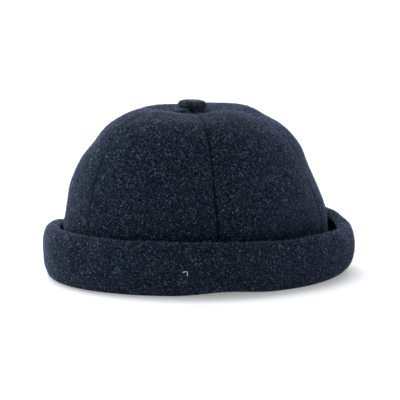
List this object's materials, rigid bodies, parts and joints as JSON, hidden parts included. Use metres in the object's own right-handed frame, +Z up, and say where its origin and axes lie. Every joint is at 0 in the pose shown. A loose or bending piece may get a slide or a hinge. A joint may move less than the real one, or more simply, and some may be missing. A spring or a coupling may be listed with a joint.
{
  "type": "docker cap",
  "caption": "Brimless round wool cap of six sewn gores with a cloth-covered button on top and a deep turned-up cuff.",
  "frame": {"origin": "on the surface that the cap rests on, under the middle of the cuff", "axes": "+Z up through the crown, -Y towards the front of the cap, +X towards the wearer's left side"},
  "size_m": [0.2128, 0.2364, 0.1242],
  "materials": {
    "crown_cloth": "milled wool melton, dark navy melange with pale kemp fibres",
    "cuff_cloth": "milled wool melton, dark navy melange with pale kemp fibres",
    "button_cloth": "the same wool cloth stretched over a button mould"
  },
  "bodies": {
    "root": {"gore_front_right": "crown_cloth", "gore_right": "crown_cloth", "gore_back_right": "crown_cloth", "gore_back_left": "crown_cloth", "gore_left": "crown_cloth", "gore_front_left": "crown_cloth", "cuff": "cuff_cloth", "top_button": "button_cloth"}
  },
  "joints": []
}
